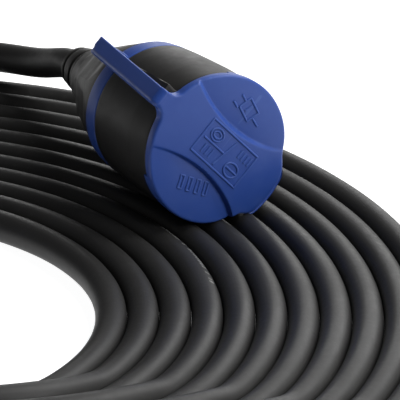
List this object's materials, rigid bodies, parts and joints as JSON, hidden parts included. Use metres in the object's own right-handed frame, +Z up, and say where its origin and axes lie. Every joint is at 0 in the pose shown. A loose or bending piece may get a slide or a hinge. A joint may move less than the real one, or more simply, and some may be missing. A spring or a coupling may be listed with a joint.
{
  "type": "shore power cord",
  "caption": "Coiled rubber-sheathed shore power lead with a capped earthed socket coupling on one end and a round industrial pin plug on the other.",
  "frame": {"origin": "on the underside of the coil, straight below the coupling's axis, 35.65 mm behind the cap's face", "axes": "+X along the coupling from its boot to its cap, +Z up from the surface that the coil lies on, +Y away from the coil's centre"},
  "size_m": [0.382, 0.3155, 0.0746],
  "materials": {
    "lead_sheath": "matt",
    "black_rubber": "matt with a fine grain",
    "blue_elastomer": "satin",
    "seal_rubber": "matt",
    "black_thermoset": "satin",
    "blue_polyamide": "satin",
    "grey_thermoset": "satin",
    "nickelled_brass": "bright",
    "plated_steel": "zinc plated",
    "brown_insulation": "satin",
    "blue_insulation": "satin",
    "earth_insulation": "satin"
  },
  "bodies": {
    "cord": {"cable_coil": "lead_sheath", "cable_lead_out": "lead_sheath", "cable_tail": "lead_sheath", "coupling_body": "black_rubber", "cable_boot": "black_rubber", "coupling_sheath_end": "lead_sheath", "collar_ring": "blue_elastomer", "strap": "blue_elastomer", "contact_insert": "black_thermoset", "live_contact": "nickelled_brass", "neutral_contact": "nickelled_brass", "earth_bracket": "nickelled_brass", "live_contact_screw": "plated_steel", "neutral_contact_screw": "plated_steel", "cable_clamp": "plated_steel", "left_clamp_screw": "plated_steel", "right_clamp_screw": "plated_steel", "brown_core": "brown_insulation", "blue_core": "blue_insulation", "earth_core": "earth_insulation", "gland_nut": "blue_polyamide", "gland_seal": "seal_rubber", "plug_sheath_end": "lead_sheath", "plug_housing": "blue_polyamide", "plug_shroud": "blue_polyamide", "pin_carrier": "grey_thermoset", "line_pin": "nickelled_brass", "neutral_pin": "nickelled_brass", "earth_pin": "nickelled_brass", "line_pin_screw": "plated_steel", "neutral_pin_screw": "plated_steel", "earth_pin_screw": "plated_steel", "plug_line_core": "brown_insulation", "plug_neutral_core": "blue_insulation", "plug_earth_core": "earth_insulation"},
    "splash_cap": {"cap": "blue_elastomer", "cap_seal": "seal_rubber"}
  },
  "joints": [
    {"name": "cap_hinge", "type": "hinge", "parent": "cord", "child": "splash_cap", "pos_m": [0.03251, -0.02182, 0.06198], "axis": [0.0333, -0.7314, -0.6812], "range_deg": [0, 110], "stiffness_Nm_per_rad": 0.01}
  ]
}
